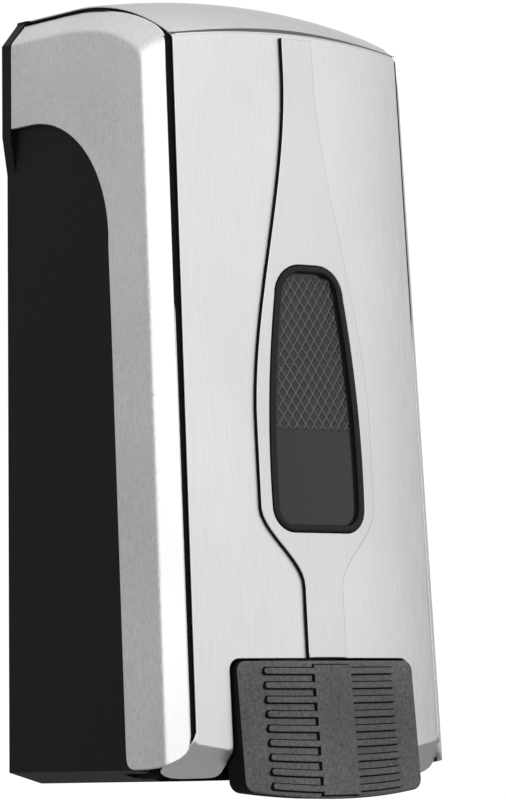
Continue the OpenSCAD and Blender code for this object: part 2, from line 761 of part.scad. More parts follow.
module pump_body() color([0.85, 0.85, 0.83]) place() difference() {
    union() {
        rod_y(pump_front, pump_back, pump_out, 0, pump_z);
        rod_z(pump_z, 22, 7, 0, port_y);
        rod_z(-3.4, pump_z, 5, 0, nozzle_y);
        rod_z(20, 28, 4.9, 0, port_y);
    }
    rod_y(pump_front - 1, chamber_end, pump_r, 0, pump_z);
    rod_y(chamber_end - 1, pump_back - 3, 3, 0, pump_z);
    rod_z(pump_z, 40, 3, 0, port_y);
    rod_z(-10, pump_z, 3, 0, nozzle_y);
}

module pump_cap() color([0.3, 0.3, 0.3]) place() difference() {
    rod_y(pump_front, pump_front + 4, pump_r, 0, pump_z);
    rod_y(pump_front - 1, pump_front + 5, 4 + run_fit, 0, pump_z);
}

piston_y = -72;
module pump_piston() color([0.2, 0.2, 0.2]) place() difference() {
    union() {
        rod_y(piston_y, piston_y + 8, pump_r - run_fit, 0, pump_z);
        rod_y(piston_front, piston_y + 0.5, 4, 0, pump_z);
        rod_y(piston_front, piston_front + 2.5, 6.5, 0, pump_z);
    }
    translate([0, piston_y + 5.2, pump_z]) rotate([90, 0, 0]) difference() {
        cylinder(r = pump_r + 1, h = 2.4, $fn = fn_round);
        translate([0, 0, -1]) cylinder(r = pump_r - 1.6, h = 5, $fn = fn_round);
    }
}

module piston_ring() color([0.1, 0.1, 0.1]) place()
    translate([0, piston_y + 4, pump_z]) rotate([90, 0, 0])
        rotate_extrude($fn = fn_round) translate([pump_r - 0.8 - run_fit, 0]) circle(r = 0.75, $fn = 32);

module pump_spring() color([0.6, 0.6, 0.62]) place()
    translate([0, chamber_end, pump_z]) rotate([90, 0, 0])
        coil(5.8, 0.6, chamber_end - piston_y - 8, 4);

module inlet_ball() color([0.6, 0.6, 0.62]) place()
    translate([0, port_y, 16]) sphere(r = 2.8, $fn = 48);

module outlet_ball() color([0.6, 0.6, 0.62]) place()
    translate([0, nozzle_y, -0.2]) sphere(r = 2.4, $fn = 48);

module nozzle() color([0.3, 0.3, 0.3]) place() difference() {
    union() {
        rod_z(-9, -3.4, 4.4, 0, nozzle_y);
        rod_z(-4.6, -3.4, 5.4, 0, nozzle_y);
    }
    rod_z(-10, 0, 2.2, 0, nozzle_y);
}

module nozzle_ring() color([0.1, 0.1, 0.1]) place()
    translate([0, nozzle_y, -7]) rotate_extrude($fn = fn_round) translate([4.9, 0])
        circle(r = 0.5, $fn = 32);

back_housing();
side_frame_left();
side_frame_right();
front_panel();
centre_spine();
window_frame();
window_lens();
cover_frame();
frame_screws();
push_bar();
push_bar_pin();
push_bar_spring();
hinge_pins();
lock_barrel();
lock_plug();
lock_nut();
lock_cam();
latch_keeper();
keeper_screws();
reservoir();
reservoir_lid();
lid_seal();
pump_body();
pump_cap();
pump_piston();
piston_ring();
pump_spring();
inlet_ball();
outlet_ball();
nozzle();
nozzle_ring();
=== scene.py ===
import math
import bpy
import numpy as np
from mathutils import Matrix, Vector
from mathutils.geometry import delaunay_2d_cdt


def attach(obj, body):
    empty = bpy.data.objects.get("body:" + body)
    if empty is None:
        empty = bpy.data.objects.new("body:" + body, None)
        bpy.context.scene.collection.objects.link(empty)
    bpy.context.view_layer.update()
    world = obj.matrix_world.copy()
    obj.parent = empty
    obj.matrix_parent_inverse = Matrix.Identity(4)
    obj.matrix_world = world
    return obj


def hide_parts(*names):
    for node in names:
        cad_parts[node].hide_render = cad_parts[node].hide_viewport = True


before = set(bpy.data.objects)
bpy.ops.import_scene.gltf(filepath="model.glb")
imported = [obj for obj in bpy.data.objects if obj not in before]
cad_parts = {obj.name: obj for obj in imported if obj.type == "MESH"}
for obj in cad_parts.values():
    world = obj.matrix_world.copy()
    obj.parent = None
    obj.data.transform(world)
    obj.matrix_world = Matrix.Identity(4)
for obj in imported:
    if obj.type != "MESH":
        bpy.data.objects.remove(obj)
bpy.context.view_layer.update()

# ---------------------------------------------------------------- sizes, in millimetres
# Heights are counted from the sides' lower edge; the frame's origin is 132 mm above it.
MOUNT_H = 132.0
HALF_W, TAPER = 60.9, 0.015
SIDE_DEPTH, LEAN = 93.3, 0.048
STRIP_X, STRIP_Y = 6.4, 6.3
GAP_X, GAP_Y = 1.6, 1.2
PANEL_BOW = 5.5
PANEL_EDGE = STRIP_X + GAP_X
PANEL_FRONT = SIDE_DEPTH + STRIP_Y + GAP_Y + PANEL_BOW
EDGE_HALF = HALF_W - PANEL_EDGE
BOW_R = (EDGE_HALF ** 2 + PANEL_BOW ** 2) / (2 * PANEL_BOW)
TOP_H, TOP_ARCH, ARCH_HALF = 266.0, 4.0, 48.0
SLOPE_R, SLOPE_Y, FORWARD = 102.0, -33.5, 3.0
REAR = -5.4
SPINE_H = 1.5


def side_x(z):
    return HALF_W - TAPER * z


def corner_y(z):
    return -(SIDE_DEPTH - LEAN * z)


def bow(x):
    return BOW_R - math.sqrt(BOW_R ** 2 - x ** 2)


def ease(t):
    t = min(1.0, max(0.0, t))
    return t * t * (3 - 2 * t)


# ---------------------------------------------------------------- meshes
def put(name, verts, faces, normals=None, marks=None):
    """Makes an object from millimetre coordinates; normals are one per face corner, and marks
    give each face its material's place in the list."""
    mesh = bpy.data.meshes.new(name)
    pts = [(x / 1000, y / 1000, (z - MOUNT_H) / 1000) for x, y, z in verts]
    mesh.from_pydata(pts, [], faces)
    mesh.polygons.foreach_set("use_smooth", [True] * len(mesh.polygons))
    if marks is not None:
        mesh.polygons.foreach_set("material_index", marks)
    if normals is not None:
        mesh.normals_split_custom_set(normals)
    mesh.validate(clean_customdata=False)
    mesh.update()
    obj = bpy.data.objects.new(name, mesh)
    bpy.context.scene.collection.objects.link(obj)
    return obj


def unit(v):
    v = np.asarray(v, float)
    n = np.linalg.norm(v)
    return v / n if n else v


def left_normals(loop):
    """Unit normals to the left of a closed loop's direction, which is the material's side."""
    p = np.asarray(loop, float)
    t = np.roll(p, -1, 0) - np.roll(p, 1, 0)
    t /= np.maximum(np.linalg.norm(t, axis=1), 1e-9)[:, None]
    return np.stack([-t[:, 1], t[:, 0]], 1)


def inside(points, loops):
    """Even-odd test of points against closed loops."""
    p = np.asarray(points, float)
    odd = np.zeros(len(p), bool)
    for loop in loops:
        a = np.asarray(loop, float)
        b = np.roll(a, -1, 0)
        for (x0, y0), (x1, y1) in zip(a, b):
            if y0 == y1:
                continue
            cross = (p[:, 1] > min(y0, y1)) & (p[:, 1] <= max(y0, y1))
            xs = x0 + (p[:, 1] - y0) * (x1 - x0) / (y1 - y0)
            odd ^= cross & (p[:, 0] < xs)
    return odd


def resample(loop, step):
    """Points along a closed loop no further apart than step; the loop's own points stay."""
    out = []
    n = len(loop)
    for i in range(n):
        a, b = np.asarray(loop[i], float), np.asarray(loop[(i + 1) % n], float)
        k = max(1, int(math.ceil(np.linalg.norm(b - a) / step)))
        out += [a + (b - a) * j / k for j in range(k)]
    return np.array(out)


def rounded_poly(corners, n=6):
    """A closed loop from (x, y, radius) corners, each rounded with an arc."""
    out = []
    m = len(corners)
    for i in range(m):
        p0, p, p1 = (np.array(corners[j % m][:2], float) for j in (i - 1, i, i + 1))
        r = corners[i][2]
        d0, d1 = unit(p0 - p), unit(p1 - p)
        turn = math.acos(max(-1, min(1, float(np.dot(d0, d1)))))
        if r <= 0 or abs(turn - math.pi) < 1e-3:
            out.append(p)
            continue
        reach = r / math.tan(turn / 2)
        a, b = p + d0 * reach, p + d1 * reach
        centre = p + unit(d0 + d1) * (r / math.sin(turn / 2))
        va, vb = a - centre, b - centre
        ang = math.acos(max(-1, min(1, float(np.dot(unit(va), unit(vb))))))
        sign = 1 if va[0] * vb[1] - va[1] * vb[0] > 0 else -1
        for k in range(n + 1):
            t = sign * ang * k / n
            c, s = math.cos(t), math.sin(t)
            out.append(centre + np.array([c * va[0] - s * va[1], s * va[0] + c * va[1]]))
    return np.array(out)


def plate(name, loops, surf, thick, edge=0.4, step=4.0, extra=(), wall=None, rows=3, back=True,
          dark=0):
    """A sheet over a surface: surf(u, v) gives a point, loops bound the material on their left.

    Its edges are rounded by edge, its walls go back by thick, and its shading follows the
    surface itself, so that the triangles don't show. wall(u, v, inward, normal) may give the
    wall's own direction and depth. The wall, and dark rows of the rounded edge next to it, take
    the second material."""
    verts, faces, normals, marks = [], [], [], []

    def at(u, v):
        h = 0.02
        p = np.array(surf(u, v))
        du = (np.array(surf(u + h, v)) - np.array(surf(u - h, v))) / (2 * h)
        dv = (np.array(surf(u, v + h)) - np.array(surf(u, v - h))) / (2 * h)
        return p, du, dv, unit(np.cross(du, dv))

    last, rings = [], []
    for loop in loops:
        loop = np.asarray(loop, float)
        left = left_normals(loop)
        ring = []
        for (u, v), (a, b) in zip(loop, left):
            p, du, dv, n = at(u, v)
            inward = unit(du * a + dv * b)
            w = wall(u, v, inward, n) if wall else -n * thick
            column = [(p + w, -inward), (p - n * edge, -inward)]
            for k in range(1, rows + 1):
                t = math.pi / 2 * k / rows
                off, down = edge * (1 - math.cos(t)), edge * (1 - math.sin(t))
                q, _, _, m = at(u + a * off, v + b * off)
                column.append((q - m * down, unit(-inward * math.cos(t) + m * math.sin(t))))
            ring.append(column)
        last.append(loop + left * edge)
        rings.append(ring)

    for ring in rings:
        n, depth = len(ring), len(ring[0])
        base = len(verts)
        for column in ring:
            verts += [c[0] for c in column]
        for i in range(n):
            j = (i + 1) % n
            for k in range(depth - 1):
                ids = [(i, k), (j, k), (j, k + 1), (i, k + 1)]
                faces.append([base + a * depth + b for a, b in ids])
                marks.append(1 if k <= dark else 0)
                normals += [ring[a][1 if k == 0 else b][1] for a, b in ids]
        ring.append(base)

    # the face itself: the loops' last rows, a grid between them, and any extra points
    flat = np.concatenate(last)
    lo, hi = flat.min(0), flat.max(0)
    nu, nv = (max(2, int(math.ceil((hi[i] - lo[i]) / step))) for i in (0, 1))
    grid = [(lo[0] + (hi[0] - lo[0]) * (i + 0.5 * (j % 2)) / nu, lo[1] + (hi[1] - lo[1]) * j / nv)
            for i in range(nu + 1) for j in range(nv + 1)]
    grid = np.array(grid + [tuple(p) for p in extra])
    grid = grid[inside(grid, last)]
    if len(grid):
        gap = np.full(len(grid), 1e9)
        near = np.full(len(grid), step * 0.35)
        near[-len(extra):] = 0.25 if len(extra) else near[-1]
        for a in flat:
            gap = np.minimum(gap, np.hypot(grid[:, 0] - a[0], grid[:, 1] - a[1]))
        grid = grid[gap > np.minimum(near, step * 0.35)]
    pts = [Vector(p) for p in flat] + [Vector(p) for p in grid]
    edges, start = [], 0
    for loop in last:
        edges += [(start + i, start + (i + 1) % len(loop)) for i in range(len(loop))]
        start += len(loop)
    out, _, tris, _, _, _ = delaunay_2d_cdt(pts, edges, [], 0, 1e-5)
    centres = np.array([[sum(out[i][k] for i in t) / 3 for k in (0, 1)] for t in tris])
    keep = inside(centres, last)
    base = len(verts)
    shade = []
    for q in out:
        p, _, _, n = at(q[0], q[1])
        verts.append(p)
        shade.append(n)
    for t, ok in zip(tris, keep):
        if ok:
            t = list(t)
            a, b, c = (np.array(out[i]) for i in t)
            if (b[0] - a[0]) * (c[1] - a[1]) - (b[1] - a[1]) * (c[0] - a[0]) < 0:
                t.reverse()
            faces.append([base + i for i in t])
            normals += [shade[i] for i in t]
    if back:
        base = len(verts)
        for q, n in zip(out, shade):
            verts.append(np.array(surf(q[0], q[1])) - n * thick * 0.98)
        for t, ok in zip(tris, keep):
            if ok:
                faces.append([base + i for i in reversed(t)])
                normals += [-shade[i] for i in reversed(t)]
    marks += [0] * (len(faces) - len(marks))
    return put(name, verts, faces, [tuple(n) for n in normals], marks)


# ---------------------------------------------------------------- materials
def material(name, base, rough, metal=0.0, grain=None, grain_amount=0.0, bump=0.0, tint=0.0,
             coat=0.0, spec=0.5, alpha=1.0, wear=0.0, fine=2500.0, transmission=0.0):
    """Principled surface with procedural grain: grain is how each axis of the noise is stretched."""
    m = bpy.data.materials.new(name)
    m.use_nodes = True
    t = m.node_tree
    b = t.nodes["Principled BSDF"]
    b.inputs["Base Color"].default_value = (*base, 1)
    b.inputs["Metallic"].default_value = metal
    b.inputs["Roughness"].default_value = rough
    b.inputs["Coat Weight"].default_value = coat
    b.inputs["Specular IOR Level"].default_value = spec
    b.inputs["Alpha"].default_value = alpha
    b.inputs["Transmission Weight"].default_value = transmission
    if grain is None:
        return m

    def node(kind, **values):
        n = t.nodes.new(kind)
        for k, v in values.items():
            n.inputs[k].default_value = v
        return n

    where = t.nodes.new("ShaderNodeTexCoord")
    scale = t.nodes.new("ShaderNodeMapping")
    scale.inputs["Scale"].default_value = grain
    t.links.new(where.outputs["Object"], scale.inputs["Vector"])
    noise = node("ShaderNodeTexNoise", Scale=fine, Detail=3.0, Roughness=0.6)
    t.links.new(scale.outputs["Vector"], noise.inputs["Vector"])
    broad = node("ShaderNodeTexNoise", Scale=22.0, Detail=2.0)
    t.links.new(where.outputs["Object"], broad.inputs["Vector"])

    def mapped(source, low, high):
        r = node("ShaderNodeMapRange")
        r.inputs["From Min"].default_value, r.inputs["From Max"].default_value = 0.25, 0.75
        r.inputs["To Min"].default_value, r.inputs["To Max"].default_value = low, high
        t.links.new(source, r.inputs["Value"])
        return r.outputs["Result"]

    value = t.nodes.new("ShaderNodeMath")
    value.operation = "MULTIPLY"
    t.links.new(mapped(noise.outputs["Fac"], 1 - tint, 1 + tint), value.inputs[0])
    t.links.new(mapped(broad.outputs["Fac"], 1 - tint * 0.5, 1 + tint * 0.5), value.inputs[1])
    colour = t.nodes.new("ShaderNodeMix")
    colour.data_type = "RGBA"
    colour.blend_type = "MULTIPLY"
    colour.inputs[0].default_value = 1.0
    colour.inputs[6].default_value = (*base, 1)
    t.links.new(value.outputs["Value"], colour.inputs[7])
    t.links.new(colour.outputs[2], b.inputs["Base Color"])
    t.links.new(mapped(noise.outputs["Fac"], max(0.02, rough - grain_amount), rough + grain_amount),
                b.inputs["Roughness"])
    if bump:
        bm = node("ShaderNodeBump", Strength=bump, Distance=0.0002)
        t.links.new(noise.outputs["Fac"], bm.inputs["Height"])
        t.links.new(bm.outputs["Normal"], b.inputs["Normal"])
    return m


def wear(obj, mat):
    obj.data.materials.clear()
    obj.data.materials.append(mat)


def ready(obj, body, slot, mat, *nodes, wall=None):
    """Gives a piece its looks and its body; wall is the material of its deep edges."""
    faces = obj.data.polygons
    marks = [f.material_index for f in faces]
    wear(obj, mat)
    obj.data.materials.append(wall or mat)
    faces.foreach_set("material_index", marks)
    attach(obj, body)
    if nodes:
        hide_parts(*nodes)
    return obj


MAT = {
    "side": material("side_satin", (0.915, 0.925, 0.92), 0.42, 1.0, (1, 1, 0.3), 0.10, 0.14,
                     0.12, fine=1500.0),
    "strip": material("strip_polished", (0.86, 0.86, 0.87), 0.16, 1.0, (1, 1, 0.05), 0.03, 0.02, 0.02),
    "panel": material("panel_brushed", (0.86, 0.86, 0.865), 0.36, 1.0, (1, 1, 0.03), 0.08,
                      0.06, 0.07, fine=1500.0),
    "spine": material("spine_brushed", (0.815, 0.815, 0.82), 0.35, 1.0, (1, 1, 0.03), 0.08,
                      0.06, 0.07, fine=1500.0),
    "housing": material("housing_black", (0.004, 0.004, 0.0045), 0.5, 0.0, (1, 1, 1), 0.08,
                        0.10, 0.10, spec=0.2),
    "bar": material("bar_grey", (0.112, 0.112, 0.114), 0.5, 0.0, (1, 1, 1), 0.15, 0.95, 0.60, fine=900.0),
    # the push bar's own black plastic on its walls; on the dark rows of its rounded edges and the sheets
    # round the ribs it is painted shade
    "bar_side_and_shade": material("bar_black_painted_shade", (0.004, 0.004, 0.004), 0.6, 0.0, (1, 1, 1), 0.08, 0.1, 0.1, spec=0.1),
    # near-black used as painted shade: on the walls of the panel and spine, on the spine's first edge row, on
    # the sheet round the spine and on the ribbons under the seams
    "shade": material("edge_painted_shade", (0.006, 0.006, 0.006), 0.6, 0.0, (1, 1, 1), 0.05, 0.02, 0.05, spec=0.1),
    # dark grey for the band along the crease at the top of the front: painted shade
    "fold_shade": material("fold_painted_shade", (0.13, 0.13, 0.132), 0.5, 0.0, (1, 1, 1), 0.05, 0.02, 0.05, spec=0.2),
    "rim": material("rim_black", (0.006, 0.006, 0.0065), 0.4, 0.0, (1, 1, 1), 0.05, 0.03, 0.05,
                    coat=0.03, spec=0.3),
    "lens": material("lens_smoked", (0.012, 0.012, 0.0125), 0.25, 0.0, (1, 1, 1), 0.04, 0.02,
                     0.05, coat=0.2),
    "steel": material("plain_steel", (0.55, 0.55, 0.56), 0.35, 1.0, (1, 1, 1), 0.08, 0.04, 0.06),
    "natural": material("natural_plastic", (0.72, 0.72, 0.69), 0.45, 0.0, (1, 1, 1), 0.05, 0.03, 0.04),
    "rubber": material("seal_rubber", (0.02, 0.02, 0.02), 0.7, 0.0, (1, 1, 1), 0.06, 0.1, 0.1),
    "brass": material("plug_brass", (0.6, 0.5, 0.3), 0.35, 1.0, (1, 1, 1), 0.06, 0.03, 0.05),
}

# ---------------------------------------------------------------- front panel
BAND_DEG, PANEL_LOW = 45.0, -3.3
TOP_ROUND, LOW_ROUND = 2.0, 1.0
LIP_X, LIP_LOW = 59.3, -0.7


def slope_z(x, y):
    """Height of the top surface: an arc that falls towards the front, arched from side to side."""
    f = max(0.0, 1 - (x / ARCH_HALF) ** 2) if abs(x) < ARCH_HALF else 0.0
    s = y + FORWARD * f
    base = TOP_H - SLOPE_R
    z = TOP_H if s > SLOPE_Y else base + math.sqrt(SLOPE_R ** 2 - (s - SLOPE_Y) ** 2)
    return z + TOP_ARCH * (1 - (x / ARCH_HALF) ** 2)


def front_y(x, z):
    return -PANEL_FRONT + LEAN * z + bow(x)


def low_crease(x):
    return 3.0 + 5.2 * (x / 52.8) ** 2


_profiles = {}


def profile(x):
    """Where each stretch of the panel's section at x begins and what rounds its two creases."""
    key = round(abs(x), 4)
    if key in _profiles:
        return _profiles[key]
    z = 250.0
    for _ in range(30):
        z = slope_z(x, front_y(x, z))
    y = front_y(x, z)
    d1 = unit([LEAN, 1.0])
    d2 = unit([0.5, slope_z(x, y + 0.5) - slope_z(x, y)])
    turn = math.acos(float(np.dot(d1, d2)))
    reach = TOP_ROUND * math.tan(turn / 2)
    a = np.array([y, z]) - d1 * reach
    centre = a + np.array([d1[1], -d1[0]]) * TOP_ROUND
    zl = low_crease(x)
    yl = front_y(x, zl)
    e = np.array([math.cos(math.radians(BAND_DEG)), -math.sin(math.radians(BAND_DEG))])
    turn_l = math.acos(float(np.dot(-d1, e)))
    reach_l = LOW_ROUND * math.tan(turn_l / 2)
    b = np.array([yl, zl]) + d1 * reach_l
    centre_l = b + np.array([d1[1], -d1[0]]) * LOW_ROUND
    end = np.array([y, z]) + d2 * reach
    out = dict(a=a, c=centre, turn=turn, d1=d1, y_end=end[0], arc=TOP_ROUND * turn,
               b=b, cl=centre_l, turn_l=turn_l, arc_l=LOW_ROUND * turn_l, e=e,
               low_end=np.array([yl, zl]) + e * reach_l)
    _profiles[key] = out
    return out


def panel_at(x, v):
    """The panel's outer surface. v is the height on the front and the way walked beyond it."""
    p = profile(x)
    va, vb = p["a"][1], p["b"][1]
    if v > va:
        w = v - va
        if w < p["arc"]:
            t = w / TOP_ROUND
            d1 = p["d1"]
            out = -np.array([d1[1], -d1[0]])
            q = p["c"] + TOP_ROUND * (out * math.cos(t) + d1 * math.sin(t))
            return (x, q[0], q[1])
        y = p["y_end"] + (w - p["arc"])
        return (x, y, slope_z(x, y))
    if v < vb:
        w = vb - v
        if w < p["arc_l"]:
            t = w / LOW_ROUND
            d1 = -p["d1"]
            out = -np.array([-d1[1], d1[0]])
            q = p["cl"] + LOW_ROUND * (out * math.cos(t) + d1 * math.sin(t))
            return (x, q[0], q[1])
        q = p["low_end"] + p["e"] * (w - p["arc_l"])
        return (x, q[0], q[1])
    return (x, front_y(x, v), v)


def panel_v_rear(x):
    p = profile(x)
    return p["a"][1] + p["arc"] + (REAR - p["y_end"])


def panel_v_low(x):
    p = profile(x)
    return p["b"][1] - p["arc_l"] - (p["low_end"][1] - PANEL_LOW) / math.sin(math.radians(BAND_DEG))


def panel_v(x, z):
    """Where height z lies on the sloping lower band, as a way walked down the surface."""
    p = profile(x)
    return p["b"][1] - p["arc_l"] - (p["low_end"][1] - z) / math.sin(math.radians(BAND_DEG))


def edge_x(z):
    return side_x(z) - PANEL_EDGE


BAR_W, BAR_TOP, BAR_DROP, BAR_GAP, BAR_SAG = 38.5, 36.0, 10.85, 0.5, 3.0

# window outline, shared by the panel's hole, the spine's hole, the rim and the lens
WIN_LOW, WIN_HIGH, WIN_W, WIN_Z, WIN_FALL = 79.7, 171.3, 20.0, 98.0, 0.00132
WIN_RL, WIN_RH, RIM = 8.5, 11.0, 2.4


def window_loop(d, clockwise=False):
    def half(z):
        return WIN_W - d - WIN_FALL * (z - WIN_Z) ** 2

    right = []
    z0, z1 = WIN_LOW + WIN_RL, WIN_HIGH - WIN_RH
    rl, rh = WIN_RL - d, WIN_RH - d
    cx = half(z0) + d - WIN_RL
    for k in range(9):
        t = -math.pi / 2 + math.pi / 2 * k / 8
        right.append((cx + rl * math.cos(t), z0 + rl * math.sin(t)))
    for k in range(1, 24):
        z = z0 + (z1 - z0) * k / 24
        right.append((half(z), z))
    cx = half(z1) + d - WIN_RH
    for k in range(9):
        t = math.pi / 2 * k / 8
        right.append((cx + rh * math.cos(t), z1 + rh * math.sin(t)))
    loop = right + [(-x, z) for x, z in reversed(right)]
    loop = resample(loop, 2.0)
    return loop[::-1] if clockwise else loop


def panel_loop():
    """Anticlockwise outline of the panel in (x, v), with the push bar's notch in its lower edge."""
    w, top = BAR_W + BAR_GAP, BAR_TOP + BAR_GAP
    low = [(w + 3 - 3 * math.cos(t), panel_v_low(w) + 3 - 3 * math.sin(t))
           for t in np.linspace(0, math.pi / 2, 6)]
    low += [(x, panel_v_low(x)) for x in np.linspace(w + 5, EDGE_HALF - 1, 5)]
    # the band runs on below the side frame as a narrowing lip with a round end
    low += [(x, panel_v(x, z)) for x, z in ((55.0, -3.0), (57.2, -2.3), (58.6, -1.5), (LIP_X, LIP_LOW),
                                            (LIP_X, 2.6), (58.2, 4.6), (56.6, 6.4), (54.6, 8.0))]
    n = 60
    rise = []
    for k in range(1, n):
        v = 8.2 + (250.0 - 8.2) * k / n
        rise.append((edge_x(v), v))
    x_top = edge_x(252)
    v_end = panel_v_rear(x_top)
    for k in range(1, 30):
        v = 250.0 + (v_end - 250.0) * k / 30
        p = panel_at(x_top, v)
        rise.append((edge_x(p[2]), v))
    rear = [(x, panel_v_rear(x)) for x in np.linspace(edge_x(TOP_H), 0, 14)]
    right = low + rise + rear
    left = [(-x, v) for x, v in reversed(right[:-1])]
    notch = [(-w, top - 3.5)]
    for k in range(1, 6):
        t = math.pi - math.pi / 2 * k / 6
        notch.append((-w + 3.5 + 3.5 * math.cos(t), top - 3.5 + 3.5 * math.sin(t)))
    notch += [(-w + 3.5, top)]
    notch = [(-w, z) for z in np.linspace(panel_v_low(w) + 4, top - 8, 7)] + notch
    notch += [(-x, z) for x, z in reversed(notch)]
    return resample(right + left + notch, 3.0)


crease_points = []
for x in np.linspace(-51, 51, 52):
    p = profile(x)
    for f in (-0.1, 0.0, 0.33, 0.67, 1.0, 1.1):
        crease_points.append((x, p["a"][1] + p["arc"] * f))
    if abs(x) > BAR_W + 1.5:
        for f in (-0.2, 0.0, 0.5, 1.0, 1.2):
            crease_points.append((x, p["b"][1] - p["arc_l"] * f))

# the panel's walls, seen through the seams and round the notch and window, take the near-black material:
# painted shade
panel = plate("front_panel_skin", [panel_loop(), window_loop(-0.3, True)], panel_at, 1.6,
              edge=0.5, step=4.0, extra=crease_points)
ready(panel, "cover", "front_panel", MAT["panel"], "front_panel", wall=MAT["shade"])

# ---------------------------------------------------------------- centre spine
NECK_W, BELLY_W, STEM_W = 6.6, 24.8, 8.2


def spine_x(z):
    if z > 102:
        return NECK_W + (BELLY_W - NECK_W) * ease((240 - z) / 124)
    return STEM_W + (BELLY_W - STEM_W) * ease((z - 61) / 27)


def spine_at(x, z):
    y = front_y(x, z) - SPINE_H
    return (x, y, z)


zs = np.linspace(BAR_TOP + 0.8, 250.6, 90)
spine_loop = [(spine_x(z), z) for z in zs] + [(-spine_x(z), z) for z in zs[::-1]]
# the spine's walls and the first row of its rounded edge take the near-black material: painted shade
spine = plate("centre_spine_skin", [resample(spine_loop, 2.5), window_loop(-0.2, True)], spine_at,
              1.5, edge=0.45, step=4.0, dark=1)
ready(spine, "cover", "centre_spine", MAT["spine"], "centre_spine", wall=MAT["shade"])


# a near-black sheet just proud of the panel, a little wider than the spine: painted shadow, which shows as a
# dark line along the spine's side turned to the light
SPINE_SHADOW_W = 0.25
spine_shadow_loop = ([(spine_x(z) + SPINE_SHADOW_W, z) for z in zs] + [(-spine_x(z) - SPINE_SHADOW_W, z) for z in zs[::-1]])
spine_shadow = plate("centre_spine_painted_shadow", [resample(spine_shadow_loop, 2.5), window_loop(-0.2, True)],
                     lambda x, z: (x, front_y(x, z) - 0.06, z), 0.05, edge=0.02, step=4.0, rows=1, back=False)
ready(spine_shadow, "cover", "centre_spine", MAT["shade"], "centre_spine", wall=MAT["shade"])


# ---------------------------------------------------------------- seams and the top crease, with painted shade along them
def ribbon(name, left, right):
    """A strip of faces between two lines of points."""
    verts = list(left) + list(right)
    n = len(left)
    return put(name, verts, [(i, i + 1, n + i + 1, n + i) for i in range(n - 1)])


def sunk(x, v, depth):
    """A point under the panel's surface."""
    h = 0.02
    p = np.array(panel_at(x, v))
    du = np.array(panel_at(x + h, v)) - np.array(panel_at(x - h, v))
    dv = np.array(panel_at(x, v + h)) - np.array(panel_at(x, v - h))
    return p - unit(np.cross(du, dv)) * depth


# near-black ribbons sunk under the seams between the panel and the side frames: painted shade that keeps each
# seam dark
SEAM_DEPTH = 1.5
x_top = edge_x(252)
for side, title in ((-1, "left"), (1, "right")):
    vs = np.linspace(8.5, panel_v_rear(x_top) - 0.5, 110)
    edge = [edge_x(min(v, 252.0)) for v in vs]
    seam = ribbon("seam_painted_shade_" + title,
                  [sunk(side * (e - 0.8), v, SEAM_DEPTH) for e, v in zip(edge, vs)],
                  [sunk(side * (e + GAP_X + 0.6), v, SEAM_DEPTH) for e, v in zip(edge, vs)])
    ready(seam, "cover", "cover_frame", MAT["shade"])

# a dark grey band laid over the crease between the front and the sloping top, widest in the middle: painted
# shade, standing in for the dark reflection the crease shows
FOLD_SHADE_WIDE, FOLD_SHADE_THIN = 2.6, 0.9
fold_x = np.linspace(-50.4, 50.4, 70)
fold_shade_w = [FOLD_SHADE_THIN + (FOLD_SHADE_WIDE - FOLD_SHADE_THIN) * (1 - ease(abs(x) / 52)) for x in fold_x]
fold_v = [profile(x)["a"][1] + profile(x)["arc"] * 0.9 for x in fold_x]
fold_shade = ribbon("front_panel_crease_painted_shade", [sunk(x, v, -0.04) for x, v in zip(fold_x, fold_v)],
              [sunk(x, v + w, -0.04) for x, v, w in zip(fold_x, fold_v, fold_shade_w)])
ready(fold_shade, "cover", "front_panel", MAT["fold_shade"], "front_panel")


# ---------------------------------------------------------------- side frames
STRIP_DROP, SIDE_SOFT, NOTCH_R, NOTCH_Y, NOTCH_Z = 6.4, 0.9, 45.5, -17.4, 180.8
NOTCH_FRONT, SHEET, RETURN_D = 71.6, 1.6, 7.0


def spline(points, n):
    """Catmull-Rom curve through open points, n steps between each pair."""
    p = [np.array(q, float) for q in points]
    p = [2 * p[0] - p[1]] + p + [2 * p[-1] - p[-2]]
    out = []
    for i in range(1, len(p) - 2):
        a, b, c, d = p[i - 1:i + 3]
        for k in range(n):
            t = k / n
            out.append(0.5 * (2 * b + (c - a) * t + (2 * a - 5 * b + 4 * c - d) * t ** 2
                              + (3 * b - a - 3 * c + d) * t ** 3))
    return out + [p[-2]]


ARC_DROP = 0.9    # how far the side stays below the panel over the top arc, which opens the seam
ARC_TOP = 264.7 - ARC_DROP

# the flat side's own edge and the strip's outer edge, from the bottom round to the back, in (y, z)
flat_edge = spline([(corner_y(z), z) for z in (-6, 60, 120, 180, 225, 237)]
                   + [(-80.9, 243.2), (-77.6, 246.6), (-71.5, 249.6), (-61.5, 253.4), (-44, 256.0),
                      (-24, 256.5), (4, 256.5)], 8)
outer_edge = spline([(corner_y(z) - STRIP_Y, z) for z in (-6, 60, 120, 180, 220, 236)]
                    + [(-88.0, 244.6)]
                    + [(y, z - ARC_DROP) for y, z in
                       ((-87.5, 248.6), (-85.5, 251.6), (-81.5, 254.5), (-74.5, 257.7), (-67.4, 260.1),
                        (-60.2, 261.9), (-48, 263.9), (-34, 264.7), (4, 264.7))], 8)


def from_path(path, y, z):
    """Distance from a path; negative on the side towards the middle of the flat side."""
    q = np.array([y, z])
    a, b = path[:-1], path[1:]
    d = b - a
    t = np.clip(((q - a) * d).sum(1) / (d ** 2).sum(1), 0, 1)
    r = q - (a + d * t[:, None])
    dist = np.hypot(r[:, 0], r[:, 1])
    i = int(np.argmin(dist))
    side = d[i][0] * (q - a[i])[1] - d[i][1] * (q - a[i])[0]
    return dist[i] if side > 0 else -dist[i]


FLAT, OUTER = np.array(flat_edge), np.array(outer_edge)


